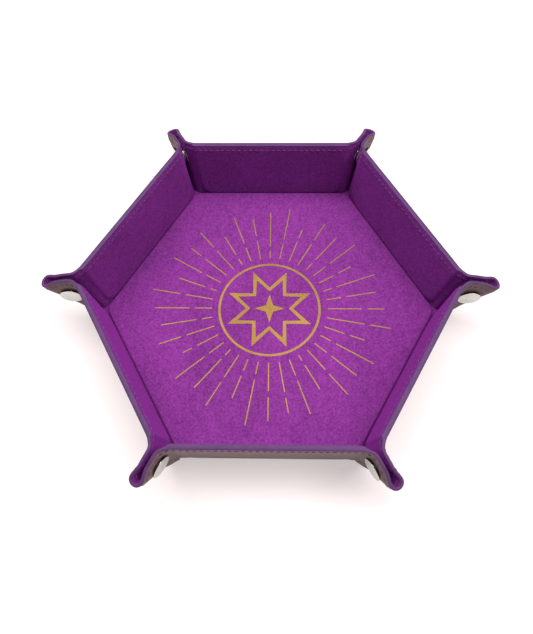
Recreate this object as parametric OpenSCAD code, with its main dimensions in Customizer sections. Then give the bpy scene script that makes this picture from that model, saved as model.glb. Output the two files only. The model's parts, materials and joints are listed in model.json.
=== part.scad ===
// Folding dice tray: a six-sided sheet of leather-like cover and velvet lining with stiffening
// boards between them. Six corners are pinched outward and held by press snaps, so that six
// walls stand up round the floor. Undoing the snaps lets the whole tray lie flat.
// Origin: centre of the underside, on the surface the tray stands on. +Z is up, +X passes
// through a corner and -Y through the front wall.

/* [Floor] */
// Distance from the centre to the lining at the foot of a wall
floor_apothem = 86.6; // [75:0.1:110]
// Thickness of the board in the floor
floor_board_t = 2.4; // [1.6:0.1:3]
// Radius of the rounded corners of the floor board
floor_corner_r = 7; // [3:0.5:10]

/* [Walls] */
// Height of the lining from the floor to the rim, measured along the wall
wall_height = 39.1; // [34:0.1:48]
// Lean of each wall outward from upright when the tray stands
wall_lean = 6; // [3:0.5:9]
// Thickness of the board in each wall
wall_board_t = 1.1; // [0.8:0.1:1.6]
// Radius of the lower corners of the wall boards
wall_board_r = 7; // [3:0.5:9]
// Width left without a board beside the corner creases
board_margin = 4; // [3:0.5:6]

/* [Sheets] */
// Thickness of the outer cover
cover_t = 1.0; // [0.8:0.1:1.2]
// Thickness of the velvet lining
lining_t = 1.2; // [1:0.1:1.4]

/* [Corners] */
// Gap between the two lining faces inside a pinched corner
corner_gap = 2.2; // [2.2:0.1:3]

/* [Snaps] */
// Diameter of the domed caps on the outside of the corners
cap_d = 12.5; // [10:0.5:13]
// Height of the domed caps
cap_h = 1.7; // [1.4:0.1:2.2]
// Diameter of the socket between the leaves
socket_d = 10.4; // [9:0.1:11]
// Distance of the snap's centre from the foot of the corner, between its two fold lines
snap_along = 35.5; // [34:0.5:37]

/* [Print] */
// Outer radius of the printed sunburst
rays_r = 73; // [60:1:74]
// Number of rays
ray_count = 36; // [24:4:48]
// Outer radius of the star at the centre
star_r = 31; // [24:1:33]

/* [Hidden] */
$fn = 64;
eps = 0.01;
sides = 6;
half_corner = 180 / sides;

// Layers
floor_t = cover_t + floor_board_t + lining_t;
wall_t = cover_t + wall_board_t + lining_t;
leaf_t = cover_t + lining_t;

// Floor hinge: the cover bends at its own middle, so the hinge axis lies there.
fold = 90 - wall_lean;
hinge_z = cover_t / 2;
lining_out = wall_t - hinge_z;
foot_s = (floor_t - hinge_z - lining_out * sin(wall_lean)) / cos(wall_lean);
hinge_r = floor_apothem + lining_out * cos(wall_lean) - foot_s * sin(wall_lean);
rim_s = foot_s + wall_height;

// Corner creases: the two creases of a corner lie beside one upright plane when it is pinched.
flare = atan(tan(half_corner) * cos(fold));
leaf_angle = half_corner - flare;
crease_h = leaf_t / 2 - hinge_z;
leaf_mid = corner_gap / 2 + leaf_t / 2;
crease_y = leaf_mid + sin(half_corner) * crease_h * sin(fold);
wall_half = (hinge_r * sin(half_corner) - crease_y) / cos(half_corner);

// Half width of a wall, between its creases, at distance s from the hinge
function half_width(s) = wall_half + s * tan(flare);

// Pinched corner, seen square on: x outward from the centre, y up
function crease_at(s) = [
    hinge_r * cos(half_corner) + half_width(s) * sin(half_corner)
        + (s * cos(fold) - crease_h * sin(fold)) * cos(half_corner),
    hinge_z + s * sin(fold) + crease_h * cos(fold)
];
crease_tilt = atan(cos(fold) / (cos(half_corner) * sin(fold)));
diagonal_tilt = crease_tilt + leaf_angle;
crease_dir = [sin(crease_tilt), cos(crease_tilt)];
diagonal_dir = [sin(diagonal_tilt), cos(diagonal_tilt)];
foot_of_corner_s = -crease_y / (sin(half_corner) - cos(half_corner) * tan(flare));
corner_foot = crease_at(foot_of_corner_s);

// Outline of the flat sheet: a hexagon whose corners are arcs that start at the creases
arc_r = ((hinge_r + rim_s) * tan(half_corner) - half_width(rim_s)) / tan(half_corner);
flat_tip = (hinge_r + rim_s - arc_r) / cos(half_corner) + arc_r;
flat_foot = (hinge_r + foot_of_corner_s) * cos(half_corner)
    + half_width(foot_of_corner_s) * sin(half_corner);
diagonal_len = flat_tip - flat_foot;
arc_centre = corner_foot + (diagonal_len - arc_r) * diagonal_dir;
snap_tilt = (crease_tilt + diagonal_tilt) / 2;
snap_at = corner_foot + snap_along * [sin(snap_tilt), cos(snap_tilt)];

// Room left at the fold lines, where the real sheets are soft
hinge_cover_room = 0.6;
hinge_lining_room = 0.25;
wall_lining_start = 1.0;
wall_board_start = 2.0;
crease_cover_room = 0.7;
crease_lining_room = 0.15;
open_crease_room = 1.1;
diagonal_room = 0.15;
leaf_bottom = cover_t + 0.4;
floor_edge_r = hinge_r - lining_out * cos(wall_lean) - hinge_lining_room;
fit_room = 0.05;

// Snap sizes
shank_d = 4.0;
shank_hole_d = 4.2;
stud_d = 4.6;
socket_bore_d = 4.95;
stud_flange_d = 10;
press_in = 0.5;
socket_t = 2.3;
stud_flange_t = 0.5;
flare_d = 4.7;
flare_t = 0.25;
cap_edge_t = 0.7;
back_t = 0.5;

// Print sizes
print_t = 0.12;
ray_w = 0.65;
ray_gap = 3.4;
ring_w = 1.4;
rose_gap = 4;
rose_points = 8;
rose_r = star_r - rose_gap;
rose_valley_r = 0.46 * star_r;
rose_tip_w = 6.2;
rose_valley_w = 2.6;
heart_points = 4;
heart_r = 0.3 * star_r;
rays_start = star_r + rose_gap;
ray_steps = [0.05, 0.1, 0.05, 0.2, 0.04, 0.1, 0.04, 0.18, 0];
ray_breaks = [0.6, 0.3, 0.15, 0.45, 0.3, 0.2, 0.5];

function wall_turn(k) = 60 * (k - 1) - 180;
function corner_turn(k) = 60 * k - 120;
function on_line(p, dir, y) = p + dir * (y - p[1]) / dir[1];

WALL_KINDS = ["wall_board", "wall_cover", "wall_lining"];
LEAF_KINDS = ["gusset_cover_a", "gusset_cover_b", "gusset_lining_a", "gusset_lining_b"];
SNAP_KINDS = ["snap_socket", "snap_stud"];

// Regular hexagon with a corner on +X, its corners rounded to radius r
module hexagon(apothem, r) {
    reach = (apothem - r) / cos(half_corner);
    polygon([
        for (a = [0:60:300], turn = [-half_corner, half_corner])
            reach * [cos(a), sin(a)] + r * [cos(a + turn), sin(a + turn)]
    ]);
    for (a = [0:60:300]) translate(reach * [cos(a), sin(a)]) circle(r);
}

// Frame of wall k: x along the wall, y from the hinge to the rim, z from the underside up
module on_wall(k) {
    rotate([0, 0, wall_turn(k)])
        translate([0, hinge_r, hinge_z])
            rotate([fold, 0, 0])
                translate([0, 0, -hinge_z]) children();
}

// Outline of a wall between s = from and s = to. The hinged crease is at -x, the open one at +x.
module wall_outline(from, to, hinged_room, open_room) {
    polygon([
        [-half_width(from) + hinged_room, from],
        [half_width(from) - open_room, from],
        [half_width(to) - open_room, to],
        [-half_width(to) + hinged_room, to]
    ]);
}

// Outline of a wall board, grown by grow: square under the rim, its lower corners rounded.
// Grown by the lining's thickness, it is the raised part of the lining and ends at the rim.
module board_outline(grow) {
    r = wall_board_r + grow;
    low = wall_board_start - grow;
    high = rim_s - lining_t + grow;
    half_low = half_width(wall_board_start) - board_margin + grow;
    half_high = half_width(rim_s) - board_margin + grow;
    polygon([
        [-half_low + r, low],
        [half_low - r, low],
        [half_low, low + r],
        [half_high, high],
        [-half_high, high],
        [-half_low, low + r]
    ]);
    for (x = [-1, 1]) translate([x * (half_low - r), low + r]) circle(r);
}

module wall_board(k) {
    color("tan") on_wall(k) translate([0, 0, cover_t])
        linear_extrude(wall_board_t) board_outline(0);
}

module wall_cover(k) {
    color("rosybrown") on_wall(k) linear_extrude(cover_t)
        wall_outline(hinge_cover_room, rim_s, crease_cover_room, open_crease_room);
}

// The lining lies on the cover all round and is raised over the board.
module wall_lining(k) {
    color("purple") on_wall(k) translate([0, 0, cover_t]) difference() {
        union() {
            linear_extrude(lining_t)
                wall_outline(wall_lining_start, rim_s, crease_lining_room, open_crease_room);
            linear_extrude(wall_board_t + lining_t) board_outline(lining_t);
        }
        translate([0, 0, -eps]) linear_extrude(wall_board_t + eps) board_outline(fit_room);
    }
}

// Frame of corner k, on leaf a or b: x outward, y up, z away from the plane between the leaves
module on_leaf(k, leaf) {
    rotate([0, 0, corner_turn(k)]) rotate([90, 0, 0])
        if (leaf == "a") {
            children();
        } else {
            mirror([0, 0, 1]) children();
        }
}

// One leaf of a pinched corner, from z = from, t thick, with a round hole for the snap
module leaf_layer(from, t, crease_room, hole_d) {
    top = 2 * rim_s;
    inner = corner_foot + crease_room * [crease_dir[1], -crease_dir[0]];
    outer = corner_foot + diagonal_room * [-diagonal_dir[1], diagonal_dir[0]];
    translate([0, 0, from]) difference() {
        intersection() {
            linear_extrude(t) polygon([
                on_line(inner, crease_dir, leaf_bottom),
                on_line(outer, diagonal_dir, leaf_bottom),
                on_line(outer, diagonal_dir, top),
                on_line(inner, crease_dir, top)
            ]);
            translate([arc_centre[0], arc_centre[1], 0]) cylinder(h = t, r = arc_r);
        }
        translate([snap_at[0], snap_at[1], -t]) cylinder(h = 3 * t, d = hole_d);
    }
}

module gusset_cover(k, leaf) {
    room = leaf == "a" ? crease_cover_room : open_crease_room;
    color("rosybrown") on_leaf(k, leaf)
        leaf_layer(corner_gap / 2 + lining_t, cover_t, room, shank_hole_d);
}

// The lining is pressed in round the snap, which makes its seat.
module gusset_lining(k, leaf) {
    room = leaf == "a" ? crease_lining_room : open_crease_room;
    seat_d = (leaf == "a" ? socket_d : stud_flange_d) + 4 * fit_room;
    color("purple") on_leaf(k, leaf) difference() {
        leaf_layer(corner_gap / 2, lining_t, room, shank_hole_d);
        translate([snap_at[0], snap_at[1], corner_gap / 2 - eps])
            cylinder(h = press_in + eps, d = seat_d);
    }
}

module gusset_cover_a(k) { gusset_cover(k, "a"); }
module gusset_cover_b(k) { gusset_cover(k, "b"); }
module gusset_lining_a(k) { gusset_lining(k, "a"); }
module gusset_lining_b(k) { gusset_lining(k, "b"); }

// Domed cap on the cover and its hollow shank, which runs in to z = shank_end
module cap(shank_end, flared) {
    seat = corner_gap / 2 + leaf_t + fit_room;
    edge_r = cap_d / 2;
    dome_h = cap_h - cap_edge_t;
    dome_r = (edge_r * edge_r + dome_h * dome_h) / (2 * dome_h);
    translate([0, 0, seat]) cylinder(h = cap_edge_t, r = edge_r);
    intersection() {
        translate([0, 0, seat + cap_h - dome_r]) sphere(dome_r);
        translate([0, 0, seat + cap_edge_t - eps]) cylinder(h = cap_h, r = edge_r);
    }
    difference() {
        union() {
            translate([0, 0, shank_end]) cylinder(h = seat + eps - shank_end, d = shank_d);
            if (flared) translate([0, 0, shank_end]) cylinder(h = flare_t, d = flare_d);
        }
        translate([0, 0, shank_end - eps]) cylinder(h = seat - shank_end, d = shank_d / 2);
    }
}

// Cap on leaf a with the socket that its shank holds against the lining
module snap_socket(k) {
    back = corner_gap / 2 + press_in - fit_room;
    color("silver") on_leaf(k, "a") translate([snap_at[0], snap_at[1], 0]) {
        cap(back - back_t - flare_t - fit_room, true);
        difference() {
            translate([0, 0, back - socket_t]) cylinder(h = socket_t, d = socket_d);
            translate([0, 0, back - socket_t - eps])
                cylinder(h = socket_t - back_t + eps, d = socket_bore_d);
            translate([0, 0, back - socket_t]) cylinder(h = 2 * socket_t, d = shank_d + 2 * fit_room);
        }
    }
}

// Cap on leaf b with the stud that its shank holds against the lining
module snap_stud(k) {
    back = corner_gap / 2 + press_in - fit_room;
    tip = back - back_t - flare_t - fit_room - 3 * fit_room;
    color("silver") on_leaf(k, "b") translate([snap_at[0], snap_at[1], 0]) {
        cap(back - stud_flange_t / 2, false);
        difference() {
            union() {
                translate([0, 0, back - stud_flange_t]) cylinder(h = stud_flange_t, d = stud_flange_d);
                translate([0, 0, -tip]) cylinder(h = tip + back - stud_flange_t + eps, d = stud_d);
            }
            translate([0, 0, back - stud_flange_t / 2 - fit_room])
                cylinder(h = stud_flange_t, d = shank_d + 2 * fit_room);
        }
    }
}

module floor_board() {
    color("tan") translate([0, 0, cover_t]) linear_extrude(floor_board_t)
        hexagon(floor_edge_r - lining_t, floor_corner_r);
}

module floor_cover() {
    color("rosybrown") linear_extrude(cover_t)
        hexagon(hinge_r - hinge_cover_room, floor_corner_r);
}

// The lining covers the board and comes down to the cover all round it.
module floor_lining() {
    color("mediumorchid") translate([0, 0, cover_t]) difference() {
        linear_extrude(floor_board_t + lining_t)
            hexagon(floor_edge_r, floor_corner_r + lining_t);
        translate([0, 0, -eps]) linear_extrude(floor_board_t + eps)
            hexagon(floor_edge_r - lining_t + fit_room, floor_corner_r + fit_room);
    }
}

module ring(r, w) {
    difference() {
        circle(r);
        circle(r - w);
    }
}

// Star of n points between two radii
module star(n, outer, inner) {
    polygon([
        for (i = [0:2 * n - 1]) (i % 2 == 0 ? outer : inner) * [cos(180 / n * i), sin(180 / n * i)]
    ]);
}

// Eight-pointed star in outline, a tip halfway between two corners of the tray
module rose() {
    rotate(180 / rose_points) difference() {
        star(rose_points, rose_r, rose_valley_r);
        star(rose_points, rose_r - rose_tip_w, rose_valley_r - rose_valley_w);
    }
}

// Ray i of the sunburst: two dashes with a gap between them
module ray(i) {
    reach = (1 - ray_steps[i % len(ray_steps)]) * rays_r;
    break_at = rays_start + ray_breaks[i % len(ray_breaks)] * (reach - rays_start);
    rotate(360 / ray_count * i) {
        translate([rays_start, -ray_w / 2]) square([break_at - rays_start, ray_w]);
        translate([break_at + ray_gap, -ray_w / 2]) square([reach - break_at - ray_gap, ray_w]);
    }
}

// Foil print on the floor: a star in a ring, with rays of uneven lengths round it
module foil_print() {
    color("goldenrod") translate([0, 0, floor_t]) linear_extrude(print_t) {
        rose();
        star(heart_points, heart_r, heart_r / 3);
        ring(star_r, ring_w);
        for (i = [0:ray_count - 1]) ray(i);
    }
}

floor_board();
floor_cover();
floor_lining();
foil_print();
for (k = [1:sides]) {
    wall_board(k);
    wall_cover(k);
    wall_lining(k);
    gusset_cover_a(k);
    gusset_cover_b(k);
    gusset_lining_a(k);
    gusset_lining_b(k);
    snap_socket(k);
    snap_stud(k);
}
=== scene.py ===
"""Folding dice tray: the soft sheets, edges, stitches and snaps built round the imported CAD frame.

All shapes are worked out in millimetres in the frame of corner 2, which lies on +X, and turned to
the other corners. Wall 2 is on the -Y side of that corner and wall 3 on its +Y side.
A sheet is followed from a wall, over the crease, along a leaf and round the loop at the tip.
g is the level, from 0 at the foot of the corner to 1 at the rim. xi is the distance past the
crease along the sheet, and h is the height from the outside of the cover towards the lining.
"""
import json
import math

import bpy
import numpy as np
from mathutils import Matrix, Vector


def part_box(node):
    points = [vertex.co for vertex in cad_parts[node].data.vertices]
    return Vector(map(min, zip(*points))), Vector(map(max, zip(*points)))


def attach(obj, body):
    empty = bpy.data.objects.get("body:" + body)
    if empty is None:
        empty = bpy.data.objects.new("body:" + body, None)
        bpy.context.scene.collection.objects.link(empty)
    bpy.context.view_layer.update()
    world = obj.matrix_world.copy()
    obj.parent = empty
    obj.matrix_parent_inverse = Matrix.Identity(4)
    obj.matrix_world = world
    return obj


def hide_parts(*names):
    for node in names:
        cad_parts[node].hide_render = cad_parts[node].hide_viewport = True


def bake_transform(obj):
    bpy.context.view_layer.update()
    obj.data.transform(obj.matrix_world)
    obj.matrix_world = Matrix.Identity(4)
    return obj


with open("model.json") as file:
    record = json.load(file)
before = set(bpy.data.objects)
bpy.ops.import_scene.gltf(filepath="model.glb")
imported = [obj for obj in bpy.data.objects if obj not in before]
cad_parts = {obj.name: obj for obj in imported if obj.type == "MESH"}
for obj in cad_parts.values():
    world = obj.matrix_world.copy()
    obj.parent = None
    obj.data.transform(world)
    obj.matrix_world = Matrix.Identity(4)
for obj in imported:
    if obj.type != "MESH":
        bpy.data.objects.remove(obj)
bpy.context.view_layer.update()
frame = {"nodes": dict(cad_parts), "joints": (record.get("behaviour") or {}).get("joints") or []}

MM = 0.001
SIDES = 6
HALF_CORNER = math.radians(30)
JOINTS = {joint["name"]: joint for joint in frame["joints"]}


def joint_place(name):
    """Position in mm and axis of a joint."""
    joint = JOINTS[name]
    return np.array(joint["pos_m"]) / MM, np.array(joint["axis"])


# Sizes taken from the frame
HINGE, _ = joint_place("wall_fold_1")
HINGE_R, HINGE_Z = -HINGE[1], HINGE[2]
FOLD = math.radians(JOINTS["wall_fold_1"]["range_deg"][1])
COVER_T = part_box("floor_cover")[1].z / MM
FLOOR_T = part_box("floor_lining")[1].z / MM
FLOOR_LINING_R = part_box("floor_lining")[1].y / MM
LEAF_OUT = -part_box("gusset_cover_a_2")[0].y / MM
LEAF_IN = -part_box("gusset_lining_a_2")[1].y / MM
LEAF_T = LEAF_OUT - LEAF_IN
LINING_T = LEAF_T - COVER_T
CREASE, CREASE_DIR = joint_place("crease_2")
FOOT, DIAGONAL_DIR = joint_place("corner_fold_2")
DIAGONAL_DIR = -DIAGONAL_DIR
CAP_LOW, CAP_HIGH = (np.array(corner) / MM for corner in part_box("snap_socket_2"))
SNAP_X, SNAP_Z = (CAP_LOW[0] + CAP_HIGH[0]) / 2, (CAP_LOW[2] + CAP_HIGH[2]) / 2
CAP_R = (CAP_HIGH[0] - CAP_LOW[0]) / 2
CAP_TOP = -CAP_LOW[1]

# Relief of the boards in the sheets
BOARD_T = 1.1
BOARD_MARGIN = 4.0
BOARD_CORNER_R = 7.0
BOARD_LOW = 2.0
SLOPE_START = 0.6
SLOPE_WIDTH = 2.4
GROOVE_DEPTH = 0.3
GROOVE_AT = 1.4
GROOVE_WIDTH = 1.2
LAYER_GAP = 0.02

# The sewn rim is pressed thin, on the lining's side of a wall and on the cover's side of a leaf
RIM_PRESS = 0.5
RIM_SKIM = 0.15
RIM_PRESS_DEPTH = 3.0
PRESS_TURN_START = 2.0
PRESS_TURN_WIDTH = 5.0

# Bend at the crease and loop at the tip: the most they reach, and their share of the leaf
FILLET_MAX = 5.2
FILLET_SHARE = 0.38
LOOP_MAX = 4.2
LOOP_SHARE = 0.4
LOOP_FULL_AT = 7.0

# The leaf stands off its plane past the waist over the snap
BULGE = 1.2
WAIST_SHARE = 0.52

# Level where the pieces over the crease and the corner begin
FOOT_LEVEL = 0.11

SIN_FOLD, COS_FOLD = math.sin(FOLD), math.cos(FOLD)
WALL_ALONG = np.array([-math.sin(HALF_CORNER), -math.cos(HALF_CORNER), 0.0])
WALL_OUT = np.array([math.cos(HALF_CORNER), -math.sin(HALF_CORNER), 0.0])
UP = np.array([0.0, 0.0, 1.0])
FLARE = math.atan(math.tan(HALF_CORNER) * COS_FOLD)
WALL_HALF = -float(CREASE @ WALL_ALONG)
RIM_S = (
    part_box("wall_cover_1")[1].z / MM - HINGE_Z - (COVER_T - HINGE_Z) * COS_FOLD
) / SIN_FOLD
FOOT_S = (FOOT[2] - CREASE[2]) / SIN_FOLD


def half_width(s):
    """Half width of a wall between its creases, s from the hinge."""
    return WALL_HALF + s * math.tan(FLARE)


# Arc of the rim on a leaf: the corners of the flat sheet are rounded between the creases.
ARC_R = HINGE_R + RIM_S - half_width(RIM_S) / math.tan(HALF_CORNER)
FLAT_TIP = (HINGE_R + RIM_S - ARC_R) / math.cos(HALF_CORNER) + ARC_R
FLAT_FOOT = (HINGE_R + FOOT_S) * math.cos(HALF_CORNER) + half_width(FOOT_S) * math.sin(HALF_CORNER)
ARC_CENTRE = FOOT + (FLAT_TIP - FLAT_FOOT - ARC_R) * DIAGONAL_DIR
ARC_END = math.atan2(DIAGONAL_DIR[0], DIAGONAL_DIR[2])
ARC_START = ARC_END - HALF_CORNER
LEVEL_MM = RIM_S - FOOT_S


def smooth(t):
    """Smoothstep of t, held to 0 to 1."""
    t = np.clip(t, 0, 1)
    return t * t * (3 - 2 * t)


def level_s(g):
    """Distance from the hinge at a level."""
    return FOOT_S + g * LEVEL_MM


def level_of(s):
    """Level at a distance from the hinge."""
    return (s - FOOT_S) / LEVEL_MM


def leaf_length(g):
    """Length of the sheet from the crease to the tip of the corner."""
    return g * ARC_R * HALF_CORNER


def fillet(g):
    """How far the bend at the crease reaches along the sheet, to each side."""
    return np.minimum(FILLET_MAX, FILLET_SHARE * leaf_length(g))


def loop_start(g):
    """Distance past the crease where the loop at the tip begins."""
    return leaf_length(g) - np.minimum(LOOP_MAX, LOOP_SHARE * leaf_length(g))


def column(v):
    """Values with one more axis, so that they scale vectors."""
    return np.asarray(v, float)[..., None]


def wall_point(x, s, h):
    """x along the wall, s from the hinge towards the rim."""
    out = HINGE_R + s * COS_FOLD - (h - HINGE_Z) * SIN_FOLD
    high = HINGE_Z + s * SIN_FOLD + (h - HINGE_Z) * COS_FOLD
    return column(x) * WALL_ALONG + column(out) * WALL_OUT + column(high) * UP


def bulge(g, u):
    """How far the sheet stands off the leaf's plane, from the waist over the snap to the tip."""
    waist = WAIST_SHARE * leaf_length(g)
    return BULGE * g ** 3 * smooth((u - waist) / (loop_start(g) - waist))


def leaf_point(g, u, h):
    """u past the crease on leaf a."""
    turn = ARC_START + u / (g * ARC_R)
    zero = np.zeros_like(turn)
    arc = ARC_CENTRE + ARC_R * np.stack([np.sin(turn), zero, np.cos(turn)], -1)
    point = FOOT + column(g) * (arc - FOOT)
    point[..., 1] = -(LEAF_OUT - h) - bulge(g, u)
    return point


WALL_NORMAL = WALL_OUT * SIN_FOLD - UP * COS_FOLD
LEAF_NORMAL = np.array([0.0, -1.0, 0.0])
MITRE = (WALL_NORMAL + LEAF_NORMAL) / (1 + WALL_NORMAL @ LEAF_NORMAL)


def bend(a, k, b, t):
    """Curve from a to b, tangent to a-k and k-b."""
    t = column(t)
    return (1 - t) ** 2 * a + 2 * t * (1 - t) * k + t ** 2 * b


def half_corner(g, xi, h):
    """Point of the sheet between the middle of the wall and the tip of the corner."""
    g, xi, h = np.broadcast_arrays(*(np.asarray(v, float) for v in (g, xi, h)))
    s, curve, loop = level_s(g), fillet(g), loop_start(g)
    flat = wall_point(-(half_width(s) + xi), s, h)
    crease = CREASE + column(s * SIN_FOLD / CREASE_DIR[2]) * CREASE_DIR
    knee = crease + column(LEAF_T / 2 - h) * MITRE
    rounded = bend(
        wall_point(-(half_width(s) - curve), s, h),
        knee,
        leaf_point(g, curve, h),
        np.clip((xi + curve) / (2 * curve), 0, 1),
    )
    leaf = leaf_point(g, np.clip(xi, curve, loop), h)
    turn = ARC_START + loop / (g * ARC_R)
    ahead = np.stack([np.cos(turn), np.zeros_like(turn), -np.sin(turn)], -1)
    round_by = np.clip((xi - loop) / (leaf_length(g) - loop), 0, 1) * math.pi / 2
    reach = -leaf[..., 1] * np.minimum(1, leaf_length(g) / LOOP_FULL_AT)
    tip = leaf + column(reach * np.sin(round_by)) * ahead
    tip[..., 1] = leaf[..., 1] * np.cos(round_by)
    on_wall, on_bend, on_leaf = (column(c) for c in (xi < -curve, xi < curve, xi < loop))
    return np.where(on_wall, flat, np.where(on_bend, rounded, np.where(on_leaf, leaf, tip)))


def turned(points, degrees):
    """Points turned about Z."""
    a = math.radians(degrees)
    m = np.array([[math.cos(a), -math.sin(a), 0], [math.sin(a), math.cos(a), 0], [0, 0, 1]])
    return points @ m.T


def mirrored(points):
    """Points of leaf a moved to leaf b of the same corner."""
    return points * np.array([1.0, -1.0, 1.0])


# ---- relief of the boards under the sheets ----

def board_distance(xi, s):
    """Distance outside the outline of the wall board, negative on the board."""
    across = xi + BOARD_MARGIN + BOARD_CORNER_R
    below = BOARD_LOW + BOARD_CORNER_R - s
    outside = np.hypot(np.maximum(across, 0), np.maximum(below, 0))
    return outside + np.minimum(np.maximum(across, below), 0) - BOARD_CORNER_R


def lift(xi, s):
    """How far the lining is raised over the board, with a soft slope round it."""
    return BOARD_T * (1 - smooth((board_distance(xi, s) + SLOPE_START) / SLOPE_WIDTH))


def rim_press(s):
    """1 at the sewn rim, 0 below it."""
    return smooth((s - RIM_S + RIM_PRESS_DEPTH) / RIM_PRESS_DEPTH)


def leaf_share(xi):
    """0 on a wall, 1 on a leaf."""
    return smooth((xi + PRESS_TURN_START) / PRESS_TURN_WIDTH)


def groove(xi, s):
    """How far the cover is pressed in round the board."""
    away = (board_distance(xi, s) - GROOVE_AT) / GROOVE_WIDTH
    return GROOVE_DEPTH * np.exp(-(away ** 2)) * (1 - rim_press(s))


def lining_press(xi, s):
    """The sewn rim is pressed thin from the lining's side on a wall."""
    return RIM_PRESS * rim_press(s) * (1 - leaf_share(xi))


def cover_press(xi, s):
    """The sewn rim is pressed thin from the cover's side on a leaf."""
    return rim_press(s) * (RIM_SKIM + RIM_PRESS * leaf_share(xi))


def layer(xi, s):
    """Height of the plane between the cover and the lining, below the board."""
    return COVER_T - lining_press(xi, s) + 0.5 * cover_press(xi, s)


# Inner and outer surface of each sheet, as a height at (xi, s)
SURFACES = {
    "lining": (
        lambda xi, s: LEAF_T + lift(xi, s) - lining_press(xi, s),
        lambda xi, s: layer(xi, s) + lift(xi, s),
    ),
    "cover": (
        lambda xi, s: layer(xi, s) - LAYER_GAP,
        lambda xi, s: groove(xi, s) + cover_press(xi, s),
    ),
}


# ---- meshes ----

SHARP_DEGREES = 40
# Painted shade inside each corner's loop: vertex attribute, its strongest darkening and its reach in mm.
LOOP_SHADE_ATTRIBUTE = "loop_painted_shade"
LOOP_SHADE_MOST = 0.6
LOOP_SHADE_REACH = 3.4


def make_piece(name, shells, material, sharp=SHARP_DEGREES):
    """Mesh object from shells of (points in mm, faces)."""
    vertices, faces = [], []
    for points, shell_faces in shells:
        start = len(vertices)
        vertices.extend(map(tuple, np.asarray(points) * MM))
        faces.extend([tuple(start + i for i in face) for face in shell_faces])
    mesh = bpy.data.meshes.new(name)
    mesh.from_pydata(vertices, [], faces)
    mesh.validate()
    mesh.update()
    mesh.polygons.foreach_set("use_smooth", [True] * len(mesh.polygons))
    mesh.set_sharp_from_angle(angle=math.radians(sharp))
    piece = bpy.data.objects.new(name, mesh)
    bpy.context.scene.collection.objects.link(piece)
    piece.data.materials.append(material)
    return piece


def sheet_shell(top, bottom):
    """Closed sheet between two grids of points, rows by columns."""
    rows, cols = top.shape[:2]
    count = rows * cols
    points = np.concatenate([top.reshape(-1, 3), bottom.reshape(-1, 3)])
    faces = []
    for r in range(rows - 1):
        for c in range(cols - 1):
            i = r * cols + c
            faces.append((i, i + 1, i + cols + 1, i + cols))
            faces.append((i + count, i + count + cols, i + count + cols + 1, i + count + 1))
    border = (
        [c for c in range(cols)]
        + [r * cols + cols - 1 for r in range(1, rows)]
        + [(rows - 1) * cols + c for c in range(cols - 2, -1, -1)]
        + [r * cols for r in range(rows - 2, 0, -1)]
    )
    for a, b in zip(border, border[1:] + border[:1]):
        faces.append((b, a, a + count, b + count))
    return points, faces


def tube_shell(rings):
    """Closed tube from rings of points, capped at both ends."""
    count, around = rings.shape[:2]
    faces = [tuple(range(around))[::-1]]
    for r in range(count - 1):
        for c in range(around):
            i, j = r * around + c, r * around + (c + 1) % around
            faces.append((i, j, j + around, i + around))
    faces.append(tuple((count - 1) * around + c for c in range(around)))
    return rings.reshape(-1, 3), faces


def turned_shell(shell, degrees):
    """The same shell at another corner."""
    return turned(shell[0], degrees), shell[1]


def paint_loop_shade(piece, top):
    """Marks the lining near the fold at the corner's tip with painted shade, for velvet_material to darken.

    It stands in for the deep shadow inside the loop, which the light alone leaves too bright.
    """
    tip = top[:, np.abs(top[-1, :, 1]).argmin(), None]
    near = LOOP_SHADE_MOST * (1 - smooth(np.linalg.norm(top - tip, axis=-1) / LOOP_SHADE_REACH))
    values = piece.data.attributes.new(LOOP_SHADE_ATTRIBUTE, "FLOAT", "POINT")
    values.data.foreach_set("value", np.concatenate([near, near]).ravel())


def grid_area(grid):
    """Area of a grid of points in square metres."""
    along, across = grid[:-1, 1:] - grid[:-1, :-1], grid[1:, :-1] - grid[:-1, :-1]
    return float(np.linalg.norm(np.cross(along, across), axis=-1).sum()) * MM * MM


# ---- paths along the sheet, one for each kind of piece ----

WALL_COLUMNS = 46
EVEN_SHARE = 0.35
BEND_COLUMNS = 7
CREASE_COLUMNS = 13
LEAF_COLUMNS = 9
LOW_LEVELS = 13
HIGH_LEVELS = 15
DENSE_BELOW = 0.36
EDGE_STRIP = 0.6
EDGE_SHARE = 0.1
MIN_STRIP = 3.0
LIP_SHARE = 0.32
LIP_TUCK = 0.22


def strip_edge(g):
    """Distance from the crease to where a wall's piece ends and the crease strip begins."""
    return np.maximum(fillet(g) + EDGE_STRIP, MIN_STRIP)


def leaf_edge(g):
    """Distance past the crease where the crease strip ends and the corner's piece begins."""
    return fillet(g) + np.minimum(EDGE_STRIP, EDGE_SHARE * leaf_length(g))


def lip(g):
    """Reach of the tucked lip that keeps the open crease closed when the tray lies flat."""
    return LIP_SHARE * fillet(g)


def wall_path(g, height, tuck=0.0):
    """Row of points across wall 2, from the strip of crease 2 to half of the open bend at corner 1.

    With a tuck, the row goes on past the bend as a lip, moved by the tuck into the next sheet.
    """
    s = level_s(g)
    even = np.linspace(0, 1, WALL_COLUMNS)
    closer_at_ends = 0.5 - 0.5 * np.cos(math.pi * even)
    q = EVEN_SHARE * even + (1 - EVEN_SHARE) * closer_at_ends
    x = -(half_width(s) - strip_edge(g)) + q * (2 * half_width(s) - strip_edge(g) - fillet(g))
    flat = wall_point(x, s, height(np.abs(x) - half_width(s), s))
    xi = np.linspace(-fillet(g), 0, BEND_COLUMNS)[1:]
    rest = half_corner(g, xi, height(xi, s))
    if tuck:
        beyond = np.linspace(0.04, 1, 4) * lip(g)
        rest = np.concatenate([rest, half_corner(g, beyond, height(beyond, s) + tuck)])
    return np.concatenate([flat, turned(mirrored(rest), -60)])


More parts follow.
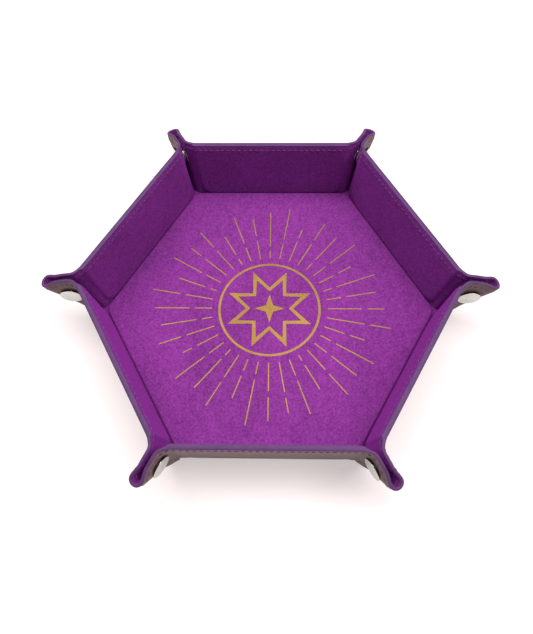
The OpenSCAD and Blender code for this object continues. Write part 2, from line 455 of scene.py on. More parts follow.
def crease_path(g, height):
    """Row of points across the strip over crease 2, from the wall to leaf a."""
    curve = fillet(g)
    xi = np.concatenate([
        np.linspace(-strip_edge(g), -curve, 3),
        np.linspace(-curve, curve, CREASE_COLUMNS)[1:],
        [leaf_edge(g)],
    ])
    return half_corner(g, xi, height(xi, level_s(g)))


def corner_path(g, height):
    """Row of points from leaf a round the tip to leaf b and half of the open bend."""
    loop, curve = loop_start(g), fillet(g)
    leaf = np.linspace(leaf_edge(g), loop, LEAF_COLUMNS)
    tip = np.linspace(loop, leaf_length(g), LEAF_COLUMNS)[1:]
    leaf_b = np.linspace(loop, curve, LEAF_COLUMNS)
    half_bend = np.linspace(curve, 0, BEND_COLUMNS)[1:]
    xi_a = np.concatenate([leaf, tip])
    xi_b = np.concatenate([tip[-2::-1], leaf_b, half_bend])
    s = level_s(g)
    return np.concatenate([
        half_corner(g, xi_a, height(xi_a, s)),
        mirrored(half_corner(g, xi_b, height(xi_b, s))),
    ])


def levels(lowest):
    """Levels from the lowest to the rim, closer together near the foot."""
    low = np.linspace(lowest, DENSE_BELOW, LOW_LEVELS)
    return np.concatenate([low, np.linspace(DENSE_BELOW, 1, HIGH_LEVELS)[1:]])


def grid(path, height, rows, **extra):
    """Rows of points along a path, one for each level."""
    return np.stack([path(g, height, **extra) for g in rows])


# Where the lining and the cover turn up from the floor into a wall: distance from the hinge
LINING_FOLD = (-(HINGE_R - FLOOR_LINING_R), 1.0)
COVER_FOLD = (-2.0, 2.0)
FOLD_ROWS = 7
FOOT_SPREAD = 2.5
FOOT_SPREAD_FROM = 10
FOOT_SPREAD_OVER = 7
LINING_KNEE_AT = 0.7
LINING_KNEE_DROP = 1.1
LINING_KNEE_DROP_UNDER = 0.35
FLOOR_NORMAL = -UP
FLOOR_MITRE = (FLOOR_NORMAL + WALL_NORMAL) / (1 + FLOOR_NORMAL @ WALL_NORMAL)


def fold_rows(upper, floor_s, h, knee_of):
    """Rows from the floor at floor_s up to the first row of a wall, spread under the corner's foot."""
    x = upper @ WALL_ALONG
    past = -x - half_width(floor_s) + FOOT_SPREAD_FROM
    x = x - FOOT_SPREAD * smooth(past / FOOT_SPREAD_OVER)
    floor_row = column(x) * WALL_ALONG + (HINGE_R + floor_s) * WALL_OUT + h * UP
    knee = knee_of(floor_row, upper, x, h)
    shares = np.linspace(0, 1, FOLD_ROWS)[:-1]
    return np.stack([bend(floor_row, knee, upper, np.full(len(x), t)) for t in shares])


def lining_knee(floor_row, upper, _, h):
    """Middle point of the lining's bend from the floor into a wall."""
    drop = LINING_KNEE_DROP if h > COVER_T + LINING_T / 2 else LINING_KNEE_DROP_UNDER
    return floor_row + LINING_KNEE_AT * (upper - floor_row) - drop * UP


def cover_knee(_, upper, x, h):
    """Middle point of the cover's bend from the floor into a wall, on the mitre of the two."""
    hinge_line = column(x) * WALL_ALONG + HINGE_R * WALL_OUT + HINGE_Z * UP
    return hinge_line + (HINGE_Z - h) * FLOOR_MITRE


def wall_sheet(kind):
    """Top and bottom grid of a wall's piece, with its fold down to the floor."""
    floor_s, wall_s = LINING_FOLD if kind == "lining" else COVER_FOLD
    knee_of = lining_knee if kind == "lining" else cover_knee
    floor_h = (LEAF_T, COVER_T) if kind == "lining" else (COVER_T - LAYER_GAP, 0.0)
    grids = []
    for height, h, tuck in zip(SURFACES[kind], floor_h, (-LIP_TUCK, LIP_TUCK)):
        wall = grid(wall_path, height, levels(level_of(wall_s)), tuck=tuck)
        grids.append(np.concatenate([fold_rows(wall[0], floor_s, h, knee_of), wall]))
    return grids


def panel_sheet(kind, path):
    """Top and bottom grid of a piece over the crease or the corner."""
    return [grid(path, height, levels(FOOT_LEVEL)) for height in SURFACES[kind]]


# ---- attaching to the frame's bodies ----


# Direction across the fold at the crease, square to the crease's slanting axis
BEND_DIR = np.cross(CREASE_DIR, WALL_NORMAL + LEAF_NORMAL)
BEND_DIR /= np.linalg.norm(BEND_DIR)


def bend_with(piece, part, k):
    """Attaches a piece to the body of wall k when part is wall; any other piece only has its transform
    baked into its mesh. part is its kind.
    """
    if part == "wall":
        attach(piece, f"wall_{k}")
        return
    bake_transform(piece)


# ---- materials ----

def new_material(name):
    """Empty node material: the material, its nodes and links, and its shader."""
    material = bpy.data.materials.new(name)
    material.use_nodes = True
    nodes = material.node_tree.nodes
    return material, nodes, material.node_tree.links, nodes["Principled BSDF"]


def rgb(r, g, b):
    """Linear colour from sRGB values of 0 to 255."""
    def linear(v):
        v /= 255
        return v / 12.92 if v <= 0.04045 else ((v + 0.055) / 1.055) ** 2.4
    return (linear(r), linear(g), linear(b), 1.0)


def grey(v):
    """Linear grey, for a roughness that varies."""
    return (v, v, v, 1.0)


def noise(nodes, links, scale, detail=4.0, rough=0.55, stretch=None):
    """Noise in the frame's own coordinates, scale in cycles per metre."""
    place = nodes.new("ShaderNodeTexCoord")
    source = place.outputs["Object"]
    if stretch:
        mapping = nodes.new("ShaderNodeMapping")
        mapping.inputs["Scale"].default_value = stretch
        links.new(source, mapping.inputs["Vector"])
        source = mapping.outputs["Vector"]
    texture = nodes.new("ShaderNodeTexNoise")
    texture.inputs["Scale"].default_value = scale
    texture.inputs["Detail"].default_value = detail
    texture.inputs["Roughness"].default_value = rough
    links.new(source, texture.inputs["Vector"])
    return texture.outputs["Fac"]


def ramp(nodes, links, value, stops):
    """Colour from a value, by stops of (place, colour)."""
    node = nodes.new("ShaderNodeValToRGB")
    elements = node.color_ramp.elements
    while len(elements) < len(stops):
        elements.new(0.5)
    for element, (at, colour) in zip(elements, stops):
        element.position = at
        element.color = colour
    links.new(value, node.inputs["Fac"])
    return node.outputs["Color"]


def mixed(nodes, links, factor, a, b):
    """Mix of two colours. The factor and each colour is a constant or another node's output."""
    node = nodes.new("ShaderNodeMix")
    node.data_type = "RGBA"
    if isinstance(factor, float):
        node.inputs["Factor"].default_value = factor
    else:
        links.new(factor, node.inputs["Factor"])
    for socket, colour in (("A", a), ("B", b)):
        target = [i for i in node.inputs if i.name == socket and i.type == "RGBA"][0]
        if isinstance(colour, tuple):
            target.default_value = colour
        else:
            links.new(colour, target)
    return [o for o in node.outputs if o.type == "RGBA"][0]


def bumped(nodes, links, shader, layers):
    """Bump from several height textures: (height, strength, distance in metres)."""
    last = None
    for height, strength, distance in layers:
        bump = nodes.new("ShaderNodeBump")
        bump.inputs["Strength"].default_value = strength
        bump.inputs["Distance"].default_value = distance
        links.new(height, bump.inputs["Height"])
        if last:
            links.new(last, bump.inputs["Normal"])
        last = bump.outputs["Normal"]
    links.new(last, shader.inputs["Normal"])


def velvet_material():
    """Short-pile velvet: nap brushed in soft patches, fine pile, a pale sheen, and painted shade towards
    dark violet near each corner's tip.
    """
    material, nodes, links, shader = new_material("velvet")
    patches = noise(nodes, links, 38, 3, 0.6, (1.0, 0.55, 1.0))
    streaks = noise(nodes, links, 300, 5, 0.65, (1.0, 0.6, 1.0))
    pile = noise(nodes, links, 980, 4, 0.75)
    broad = ramp(nodes, links, patches, [(0.3, rgb(104, 31, 112)), (0.7, rgb(138, 45, 144))])
    brushed = ramp(nodes, links, streaks, [(0.34, rgb(92, 26, 98)), (0.66, rgb(148, 56, 152))])
    fine = ramp(nodes, links, pile, [(0.36, rgb(68, 12, 82)), (0.66, rgb(166, 78, 174))])
    base = mixed(nodes, links, 0.3, broad, brushed)
    # Painted shade: near each corner's tip the colour is mixed towards dark violet, in place of the shadow
    # inside the loop.
    loop_painted_shade = nodes.new("ShaderNodeAttribute")
    loop_painted_shade.attribute_name = LOOP_SHADE_ATTRIBUTE
    unshaded_pile = mixed(nodes, links, 0.42, base, fine)
    colour = mixed(nodes, links, loop_painted_shade.outputs["Fac"], unshaded_pile, rgb(52, 10, 58))
    links.new(colour, shader.inputs["Base Color"])
    shader.inputs["Roughness"].default_value = 0.92
    shader.inputs["Specular IOR Level"].default_value = 0.15
    shader.inputs["Sheen Weight"].default_value = 0.4
    shader.inputs["Sheen Roughness"].default_value = 0.45
    shader.inputs["Sheen Tint"].default_value = rgb(200, 66, 216)
    bumped(nodes, links, shader, [(streaks, 0.25, 0.0006), (pile, 0.55, 0.0004)])
    return material


def leather_material():
    """Taupe leather-like cover: pebbled grain, darker in the grain's valleys, worn paler patches."""
    material, nodes, links, shader = new_material("cover_leather")
    place = nodes.new("ShaderNodeTexCoord")
    cells = nodes.new("ShaderNodeTexVoronoi")
    cells.feature = "DISTANCE_TO_EDGE"
    cells.inputs["Scale"].default_value = 1450
    links.new(place.outputs["Object"], cells.inputs["Vector"])
    wear = noise(nodes, links, 90, 7, 0.68)
    fine = noise(nodes, links, 1200, 4, 0.65)
    worn = ramp(nodes, links, wear, [(0.32, rgb(76, 49, 50)), (0.7, rgb(113, 77, 77))])
    grain = cells.outputs["Distance"]
    valley = ramp(nodes, links, grain, [(0.0, rgb(72, 46, 49)), (0.2, rgb(111, 77, 80))])
    links.new(mixed(nodes, links, 0.4, worn, valley), shader.inputs["Base Color"])
    links.new(ramp(nodes, links, fine, [(0.25, grey(0.42)), (0.75, grey(0.6))]), shader.inputs["Roughness"])
    bumped(nodes, links, shader, [(grain, 0.5, 0.0004), (fine, 0.25, 0.0002)])
    return material


def edge_material():
    """Band over the cut edge of the sheets: greyish violet, fibrous, a little uneven."""
    material, nodes, links, shader = new_material("edge_dye")
    fibres = noise(nodes, links, 900, 5, 0.7)
    patches = noise(nodes, links, 120, 3, 0.5)
    a = ramp(nodes, links, fibres, [(0.28, rgb(51, 19, 64)), (0.72, rgb(97, 42, 114))])
    b = ramp(nodes, links, patches, [(0.35, rgb(66, 25, 81)), (0.65, rgb(89, 37, 104))])
    links.new(mixed(nodes, links, 0.5, a, b), shader.inputs["Base Color"])
    shader.inputs["Roughness"].default_value = 0.62
    shader.inputs["Sheen Weight"].default_value = 0.1
    bumped(nodes, links, shader, [(fibres, 0.5, 0.0003)])
    return material


def thread_material():
    """Violet sewing thread, twisted."""
    material, nodes, links, shader = new_material("thread")
    place = nodes.new("ShaderNodeTexCoord")
    twist = nodes.new("ShaderNodeTexWave")
    twist.inputs["Scale"].default_value = 700
    twist.inputs["Distortion"].default_value = 1.5
    links.new(place.outputs["Object"], twist.inputs["Vector"])
    colour = ramp(nodes, links, twist.outputs["Fac"], [(0.2, rgb(74, 38, 92)), (0.8, rgb(122, 76, 142))])
    links.new(colour, shader.inputs["Base Color"])
    shader.inputs["Roughness"].default_value = 0.6
    shader.inputs["Sheen Weight"].default_value = 0.1
    bumped(nodes, links, shader, [(twist.outputs["Fac"], 0.6, 0.0002)])
    return material


def snap_material():
    """Polished nickel plate with faint handling marks."""
    material, nodes, links, shader = new_material("snap_nickel")
    marks = noise(nodes, links, 650, 6, 0.7)
    haze = noise(nodes, links, 160, 3, 0.5)
    colour = ramp(nodes, links, haze, [(0.3, (0.47, 0.49, 0.46, 1)), (0.7, (0.6, 0.62, 0.58, 1))])
    links.new(colour, shader.inputs["Base Color"])
    links.new(ramp(nodes, links, marks, [(0.35, grey(0.14)), (0.7, grey(0.3))]), shader.inputs["Roughness"])
    shader.inputs["Metallic"].default_value = 1.0
    bumped(nodes, links, shader, [(marks, 0.08, 0.0002)])
    return material


def neck_shade_material():
    """Near-black steel, smudged; the near-black is painted shade for the shadowed gap under the cap's lip.
    """
    material, nodes, links, shader = new_material("neck_painted_shade")
    smudges = noise(nodes, links, 800, 4, 0.6)
    dark, light = (0.012, 0.012, 0.012, 1), (0.035, 0.037, 0.033, 1)
    colour = ramp(nodes, links, smudges, [(0.3, dark), (0.7, light)])
    links.new(colour, shader.inputs["Base Color"])
    shader.inputs["Metallic"].default_value = 0.6
    shader.inputs["Roughness"].default_value = 0.45
    bumped(nodes, links, shader, [(smudges, 0.1, 0.0002)])
    return material


def foil_material():
    """Matt gold foil pressed on the velvet: the pile shows through as specks."""
    material, nodes, links, shader = new_material("gold_foil")
    specks = noise(nodes, links, 1500, 5, 0.75)
    patches = noise(nodes, links, 70, 3, 0.5)
    a = ramp(nodes, links, specks, [(0.3, rgb(100, 68, 32)), (0.55, rgb(152, 116, 50))])
    b = ramp(nodes, links, patches, [(0.35, rgb(128, 95, 38)), (0.65, rgb(155, 121, 51))])
    links.new(mixed(nodes, links, 0.5, a, b), shader.inputs["Base Color"])
    shader.inputs["Metallic"].default_value = 0.55
    shader.inputs["Roughness"].default_value = 0.48
    bumped(nodes, links, shader, [(specks, 0.5, 0.0003)])
    return material


def board_material():
    """Grey-brown cardboard with flecks."""
    material, nodes, links, shader = new_material("cardboard")
    flecks = noise(nodes, links, 700, 6, 0.75)
    colour = ramp(nodes, links, flecks, [(0.3, rgb(150, 128, 98)), (0.7, rgb(190, 168, 134))])
    links.new(colour, shader.inputs["Base Color"])
    shader.inputs["Roughness"].default_value = 0.9
    bumped(nodes, links, shader, [(flecks, 0.4, 0.0003)])
    return material


def table_material():
    """Plain pale table that shines a little of its own, so that it comes out nearly white."""
    material, nodes, links, shader = new_material("pale_table")
    soft = noise(nodes, links, 3, 3, 0.5)
    colour = ramp(nodes, links, soft, [(0.3, rgb(204, 192, 192)), (0.7, rgb(208, 197, 197))])
    links.new(colour, shader.inputs["Base Color"])
    shader.inputs["Roughness"].default_value = 0.9
    shader.inputs["Specular IOR Level"].default_value = 0.1
    shader.inputs["Emission Color"].default_value = (1.0, 0.94, 0.94, 1)
    shader.inputs["Emission Strength"].default_value = 0.46
    return material


VELVET = velvet_material()
LEATHER = leather_material()
EDGE = edge_material()
THREAD = thread_material()
NICKEL = snap_material()
NECK_PAINTED_SHADE = neck_shade_material()
GOLD = foil_material()
CARDBOARD = board_material()
SHEET_MATERIAL = {"lining": VELVET, "cover": LEATHER}


# ---- sheets of the walls and corners ----

def declare_sheet(piece, width, length, area):
    """Turns a sheet's flat size in mm from the layout into metres, and does nothing more with it.

    The area, in square metres, is not used; for all but the floor it is that of the modelled surface, so it
    is no separate measure.
    """
    width, length = width * MM, length * MM


FLAT_SPARE = 2


def build_sheets(kind):
    """The lining's or the cover's pieces on the walls, over the creases and round the corners."""
    fold_from = LINING_FOLD[0] if kind == "lining" else COVER_FOLD[0]
    wall_flat = (2 * half_width(RIM_S), RIM_S - fold_from)
    crease_flat = (2 * FILLET_MAX + FLAT_SPARE, LEVEL_MM)
    corner_flat = (2 * leaf_length(1) + FLAT_SPARE, (FLAT_TIP - FLAT_FOOT) * (1 - FOOT_LEVEL))
    parts = {
        "wall": (wall_sheet(kind), f"{kind}_fold", wall_flat),
        "crease": (panel_sheet(kind, crease_path), "crease", crease_flat),
        "corner": (panel_sheet(kind, corner_path), "corner", corner_flat),
    }
    replaced = {
        "wall": [f"wall_{kind}"],
        "corner": [f"gusset_{kind}_a", f"gusset_{kind}_b"],
        "crease": [],
    }
    for part, ((top, bottom), bends, flat) in parts.items():
        points, faces = sheet_shell(top, bottom)
        for k in range(1, SIDES + 1):
            shell = (turned(points, 60 * (k - 2)), faces)
            piece = make_piece(f"{kind}_{part}_{k}", [shell], SHEET_MATERIAL[kind])
            # Painted shade near the tip of each lining corner, in place of the shadow inside the loop.
            if part == "corner" and kind == "lining":
                paint_loop_shade(piece, top)
            bend_with(piece, bends, k)
            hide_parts(*[f"{node}_{k}" for node in replaced[part]])
            declare_sheet(piece, *flat, grid_area(top))


# ---- edge band and stitches ----

BAND_HEIGHT = 0.5
BAND_OVER = 0.08
BAND_DEPTH = 0.9
BAND_SUNK = 0.3
BAND_POINTS = 9
BAND_FULLNESS = 0.7


def band_rings(path):
    """Rings of the rounded band along the rim: each is a closed section round the sheet's edge."""
    lining_top, cover_out = SURFACES["lining"][0], SURFACES["cover"][1]
    section = []
    for a in np.linspace(0, math.pi, BAND_POINTS):
        share = 0.5 - 0.5 * math.cos(a)
        up = BAND_HEIGHT * math.sin(a) ** BAND_FULLNESS
        section.append((share, BAND_OVER * (2 * share - 1), up))
    section += [(1.0, -BAND_SUNK, -BAND_DEPTH), (0.0, BAND_SUNK, -BAND_DEPTH)]
    lines = [
        path(
            1 + up / LEVEL_MM,
            lambda xi, s, f=share, o=over: f * lining_top(xi, s) + (1 - f) * cover_out(xi, s) + o,
        )
        for share, over, up in section
    ]
    return np.stack(lines, axis=1)


STITCH_BELOW_RIM = 3.0
STITCH_PITCH = 3.4
STITCH_LENGTH = 2.4
THREAD_R = 0.28
THREAD_PROUD = 0.06
THREAD_SIDES = 6

# Rings along a stitch: place along it, share of its radius, how far it is sunk
THREAD_RINGS = ((0, 0.35, 0.3), (0.12, 0.85, 0.1), (0.5, 1.0, 0.0), (0.88, 0.85, 0.1), (1, 0.35, 0.3))


def capsule(a, b, radius, out):
    """Thread between two points, round and sunk at both ends."""
    along = b - a
    side = np.cross(along, out)
    side /= np.linalg.norm(side)
    turns = np.linspace(0, 2 * math.pi, THREAD_SIDES + 1)[:-1]
    rings = []
    for t, share, sink in THREAD_RINGS:
        centre = a + t * along - sink * out
        rings.append([
            centre + radius * share * (math.cos(v) * side + math.sin(v) * out) for v in turns
        ])
    return tube_shell(np.array(rings))


def stitch_shells(path):
    """Stitches on the lining and on the cover, evenly spaced along a path."""
    g = 1 - STITCH_BELOW_RIM / LEVEL_MM
    lining_top, cover_out = SURFACES["lining"][0], SURFACES["cover"][1]
    shells = []
    for height, side in ((lining_top, 1), (cover_out, -1)):
        line = path(g, lambda xi, s: height(xi, s) + side * THREAD_PROUD)
        outward = path(g, lambda xi, s: height(xi, s) + side * (1 + THREAD_PROUD)) - line
        steps = np.linalg.norm(np.diff(line, axis=0), axis=1)
        run = np.concatenate([[0], np.cumsum(steps)])
        count = max(1, round(run[-1] / STITCH_PITCH))
        for i in range(count):
            middle = (i + 0.5) * run[-1] / count
            ends = [
                np.array([np.interp(middle + d, run, line[:, axis]) for axis in range(3)])
                for d in (-STITCH_LENGTH / 2, STITCH_LENGTH / 2)
            ]
            out = np.array([np.interp(middle, run, outward[:, axis]) for axis in range(3)])
            shells.append(capsule(*ends, THREAD_R, out / np.linalg.norm(out)))
    return shells


def build_rim():
    """Edge band and stitches of each wall, crease and corner."""
    for part, path in (("wall", wall_path), ("crease", crease_path), ("corner", corner_path)):
        band, stitches = tube_shell(band_rings(path)), stitch_shells(path)
        for k in range(1, SIDES + 1):
            turn = 60 * (k - 2)
            edge = make_piece(f"edge_band_{part}_{k}", [turned_shell(band, turn)], EDGE)
            bend_with(edge, part, k)
            shells = [turned_shell(shell, turn) for shell in stitches]
            thread = make_piece(f"stitches_{part}_{k}", shells, THREAD)
            bend_with(thread, part, k)


# ---- floor ----

FLOOR_CORNER_R = 8.2
COVER_CORNER_R = 7.0
FLOOR_EDGE_R = 1.3
FLANGE_OUT = 0.55
FLANGE_CORNER_R = 5.0
FLANGE_DOWN = 0.08


def hexagon(apothem, corner_r, arc_points=9, side_points=12):
    """Points round a hexagon with rounded corners, a corner on +X."""
    def towards(angle):
        return np.array([math.cos(angle), math.sin(angle)])

    reach = (apothem - corner_r) / math.cos(HALF_CORNER)
    share = np.linspace(0, 1, side_points + 2)[1:-1, None]
    points = []
    for i in range(SIDES):
        here, after = math.radians(60 * i), math.radians(60 * (i + 1))
        turns = here + np.linspace(-HALF_CORNER, HALF_CORNER, arc_points)
        arc = reach * towards(here) + corner_r * np.stack([np.cos(turns), np.sin(turns)], -1)
        next_start = reach * towards(after) + corner_r * towards(turns[-1])
        points += [arc, arc[-1] + share * (next_start - arc[-1])]
    return np.concatenate(points)


def disc_shell(rings):
    """Closed solid from hexagonal rings of (apothem, corner radius, z), top centre to bottom centre."""
    outlines = []
    for apothem, corner_r, z in rings:
        outline = hexagon(apothem, corner_r)
        outlines.append(np.column_stack([outline, np.full(len(outline), z)]))
    around = len(outlines[0])
    points = np.concatenate(outlines + [[[0, 0, rings[0][2]], [0, 0, rings[-1][2]]]])
    top, bottom = len(points) - 2, len(points) - 1
    faces = []
    last = (len(outlines) - 1) * around
    for c in range(around):
        d = (c + 1) % around
        faces.append((c, d, top))
        for start in range(0, last, around):
            faces.append((start + d, start + c, start + around + c, start + around + d))
        faces.append((last + d, last + c, bottom))
    return points, faces


def floor_lining_shell():
    """Velvet over the floor board: flat top, rounded edge, skirt and a flange under the folds."""
    edge, corner = FLOOR_LINING_R, FLOOR_CORNER_R
    flange_z = LEAF_T - FLANGE_DOWN
    rings = [(edge * f, max(corner * f, 0.5), FLOOR_T) for f in (0.25, 0.5, 0.75, 0.93)]
    for a in np.linspace(0, math.pi / 2, 6):
        inset = FLOOR_EDGE_R * (1 - math.sin(a))
        rings.append((edge - inset, corner - inset, FLOOR_T - FLOOR_EDGE_R * (1 - math.cos(a))))
    rings += [
        (edge, corner, flange_z + 0.3),
        (edge + 0.15, corner, flange_z),
        (edge + FLANGE_OUT, FLANGE_CORNER_R, flange_z),
        (edge + FLANGE_OUT, FLANGE_CORNER_R, COVER_T),
        (edge - LINING_T, corner - LINING_T, COVER_T),
        (edge - LINING_T, corner - LINING_T, FLOOR_T - LINING_T),
    ]
    return disc_shell(rings)


def floor_cover_shell():
    """Cover under the floor board, out to where the folds begin."""
    edge, corner = HINGE_R + COVER_FOLD[0], COVER_CORNER_R
    shares = (0.3, 0.65, 0.99)
    rings = [(edge * f, corner * f, COVER_T - LAYER_GAP) for f in shares]
    rings += [(edge, corner, COVER_T - 0.05), (edge, corner, 0.0)]
    rings += [(edge * f, corner * f, 0.0) for f in shares[::-1]]
    return disc_shell(rings)


TONGUE_START = 92
TONGUE_REACH = 104.4
TONGUE_HALF = 3.0
TONGUE_FOOT = 2.0
TONGUE_FOOT_AT = 96
TONGUE_FOOT_OVER = 5
TONGUE_STRAIGHT = 0.7
TONGUE_ROWS = 9
TONGUE_COLUMNS = 7
TONGUE_DROP = 0.45
TONGUE_DROP_MOST = 0.8


def tongue_shell(low, high, shrink):
    """Tab of the floor's sheets that closes the foot of a corner, rounded at its end."""
    thick = high - low
    across = np.linspace(-1, 1, TONGUE_COLUMNS)
    top, bottom = [], []
    for q in np.linspace(0, 1, TONGUE_ROWS):
        x = TONGUE_START + q * (TONGUE_REACH - shrink - TONGUE_START)
        past = max(0, (q - TONGUE_STRAIGHT) / (1 - TONGUE_STRAIGHT))
        end = math.sqrt(max(1 - past ** 2, 0.02))
        spread = TONGUE_FOOT * (1 - smooth((x - TONGUE_FOOT_AT) / TONGUE_FOOT_OVER))
        y = across * (TONGUE_HALF + spread - shrink) * end
        drop = TONGUE_DROP * thick * (np.abs(across) ** 3 + (1 - end))
        z = high - np.minimum(drop, TONGUE_DROP_MOST * thick)
        top.append(np.column_stack([np.full(TONGUE_COLUMNS, x), y, z]))
        bottom.append(np.column_stack([np.full(TONGUE_COLUMNS, x), y, np.full(TONGUE_COLUMNS, low)]))
    return sheet_shell(np.array(top)[:, ::-1], np.array(bottom)[:, ::-1])


def build_floor():
    """The floor's lining and cover, with a tab at the foot of each corner."""
    tongues = {
        "lining": tongue_shell(COVER_T, LEAF_T - 0.15, 0.5),
        "cover": tongue_shell(0.05, COVER_T + 0.3, 0.0),
    }
    discs = {
        "lining": (floor_lining_shell(), FLOOR_LINING_R),
        "cover": (floor_cover_shell(), HINGE_R + COVER_FOLD[0]),
    }
    for kind, (disc, apothem) in discs.items():
        shells = [disc] + [turned_shell(tongues[kind], 60 * i) for i in range(SIDES)]
        piece = make_piece(f"{kind}_floor", shells, SHEET_MATERIAL[kind])
        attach(piece, "floor")
        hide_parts(f"floor_{kind}")
        across = 2 * apothem
        area = across * across * math.cos(HALF_CORNER) * MM * MM
        declare_sheet(piece, across / math.cos(HALF_CORNER), across, area)


# ---- snaps ----

SNAP_SEGMENTS = 40
ON_AXIS = 0.02
SNAP_SHARP_DEGREES = 50


def lathe(profile):
    """Closed turned shell from (radius, distance from the plane between the leaves) points on -Y."""
    turns = np.linspace(0, 2 * math.pi, SNAP_SEGMENTS + 1)[:-1]
    rings = [
        [(SNAP_X + r * math.cos(v), -out, SNAP_Z + r * math.sin(v)) for v in turns]
        for r, out in profile
    ]
    return tube_shell(np.array(rings))


def cap_profile():
    """Low domed cap with a thin rolled lip that stands off the cover."""
    edge, dome = 0.12 * (CAP_TOP - LEAF_OUT), 0.26 * (CAP_TOP - LEAF_OUT)
    flat_r = CAP_R - edge
    face = [(r * flat_r, CAP_TOP - dome * r * r) for r in (0.01, 0.3, 0.55, 0.75, 0.9, 1.0)]
    middle = face[-1][1] - edge
    rolled = [
        (flat_r + edge * math.sin(a), middle + edge * math.cos(a))
        for a in np.linspace(0.4, math.pi, 9)
    ]
    return face + rolled + [(ON_AXIS, rolled[-1][1])]


def neck_profile():
    """Neck between the cap and the cover, coloured near black as painted shade for the gap under the lip.
    """
    low, high = LEAF_OUT - 0.1, CAP_TOP - 0.5 * (CAP_TOP - LEAF_OUT)
    radius = CAP_R - 0.3
    return [(ON_AXIS, high), (radius - 0.3, high), (radius, high - 0.2), (radius, low), (ON_AXIS, low)]


def socket_profile(back):
    """Socket of the snap: flange, raised rim and a bore for the stud."""
    return [
        (ON_AXIS, back), (5.7, back), (5.95, back - 0.2), (5.95, back - 0.5), (5.7, back - 0.7),
        (4.4, back - 0.8), (4.2, back - 1.0), (4.15, back - 1.4), (3.9, back - 1.6),
        (2.75, back - 1.6), (2.48, back - 1.4), (2.48, back - 0.25), (ON_AXIS, back - 0.25),
    ]


def stud_profile(back):
    """Stud of the snap: flange and the waisted knob that clicks into the socket."""
    return [
        (ON_AXIS, back), (5.4, back), (5.6, back - 0.15), (5.6, back - 0.35), (5.4, back - 0.5),
        (3.4, back - 0.5), (3.1, back - 0.6), (2.2, back - 0.65), (2.0, back - 0.9),
        (2.3, back - 1.4), (2.2, back - 1.9), (1.7, back - 2.05), (ON_AXIS, back - 2.1),
    ]


def mirrored_shell(shell):
    """The same shell on leaf b, its faces turned so that they still face out."""
    return mirrored(shell[0]), [face[::-1] for face in shell[1]]


def build_snaps():
    """Cap, neck and socket on each leaf a; cap, neck and stud on each leaf b."""
    back = LEAF_IN + 0.15
    cap, neck = lathe(cap_profile()), lathe(neck_profile())
    on_leaf_a = [cap, lathe(socket_profile(back)), neck]
    on_leaf_b = [mirrored_shell(shell) for shell in (cap, lathe(stud_profile(back)), neck)]
    for k in range(1, SIDES + 1):
        for name, leaf, parts in (("socket", "a", on_leaf_a), ("stud", "b", on_leaf_b)):
            shells = [turned_shell(shell, 60 * (k - 2)) for shell in parts]
            piece = make_piece(f"press_{name}_{k}", shells[:2], NICKEL, SNAP_SHARP_DEGREES)
            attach(piece, f"leaf_{leaf}_{k}")
            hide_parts(f"snap_{name}_{k}")
            # The neck's near-black colour is painted shade for the gap under each cap's lip.
            ring = make_piece(f"cap_neck_{name}_{k}", shells[2:], NECK_PAINTED_SHADE, SNAP_SHARP_DEGREES)
            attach(ring, f"leaf_{leaf}_{k}")


# ---- frame nodes that stay ----

def finish_nodes():
    """Gold foil on the print and cardboard on the boards, through their own material slots."""
    for name, node in frame["nodes"].items():
        if node.hide_render:
            continue
        for slot in node.material_slots:
            slot.material = GOLD if name == "foil_print" else CARDBOARD


# ---- stage ----

# Camera fitted to the photo: target and distance in mm, angles in degrees
CAMERA_TARGET = (-1.7, -5.7, 4.6)
CAMERA_DISTANCE = 349.9
CAMERA_AZIMUTH = 3.08
CAMERA_ELEVATION = 65.25
CAMERA_ROLL = -2.45
CAMERA_LENS = 33.04


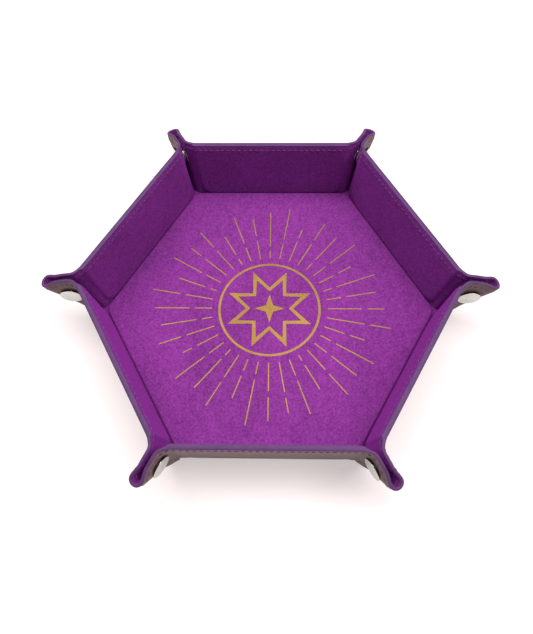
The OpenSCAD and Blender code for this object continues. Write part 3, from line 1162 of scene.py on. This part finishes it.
def build_camera():
    """Camera at the photo's angle, looking at the target."""
    azimuth = math.radians(CAMERA_AZIMUTH)
    elevation = math.radians(CAMERA_ELEVATION)
    roll = math.radians(CAMERA_ROLL)
    back = Vector((
        math.sin(azimuth) * math.cos(elevation),
        -math.cos(azimuth) * math.cos(elevation),
        math.sin(elevation),
    ))
    level_right = Vector((math.cos(azimuth), math.sin(azimuth), 0))
    level_up = back.cross(level_right)
    right = level_right * math.cos(roll) + level_up * math.sin(roll)
    up = level_up * math.cos(roll) - level_right * math.sin(roll)
    camera = bpy.data.objects.new("camera", bpy.data.cameras.new("camera"))
    camera.data.lens = CAMERA_LENS
    camera.data.clip_start = 0.01
    place = (Vector(CAMERA_TARGET) + back * CAMERA_DISTANCE) * MM
    rotation = Matrix((right, up, back)).transposed().to_4x4()
    camera.matrix_world = Matrix.Translation(place) @ rotation
    bpy.context.scene.collection.objects.link(camera)
    bpy.context.scene.camera = camera


def area_light(name, place, size, watts, colour):
    """Soft rectangular light that points at the origin."""
    light = bpy.data.lights.new(name, "AREA")
    light.shape = "RECTANGLE"
    light.energy = watts
    light.color = colour
    light.size, light.size_y = size
    lamp = bpy.data.objects.new(name, light)
    lamp.location = place
    lamp.rotation_euler = (-Vector(place)).to_track_quat("-Z", "Y").to_euler()
    bpy.context.scene.collection.objects.link(lamp)


# The table lies 0.2 mm below the plane that the tray stands on
TABLE_SIZE = 6
TABLE_Z = -0.0002
WORLD_STRENGTH = 0.28


def build_stage():
    """Pale table, one wide soft light from above and behind, and an even grey-white world."""
    bpy.ops.mesh.primitive_plane_add(size=TABLE_SIZE, location=(0, 0, TABLE_Z))
    table = bpy.context.object
    table.name = "table"
    table.data.materials.append(table_material())
    area_light("key", (0.05, 0.16, 0.9), (1.9, 0.45), 17, (1.0, 0.99, 0.98))
    world = bpy.data.worlds.new("studio")
    world.use_nodes = True
    background = world.node_tree.nodes["Background"]
    background.inputs["Color"].default_value = (1.0, 0.985, 0.99, 1)
    background.inputs["Strength"].default_value = WORLD_STRENGTH
    bpy.context.scene.world = world
    bpy.context.scene.view_settings.view_transform = "Standard"


build_camera()
build_stage()
build_floor()
build_sheets("lining")
build_sheets("cover")
build_rim()
build_snaps()
finish_nodes()
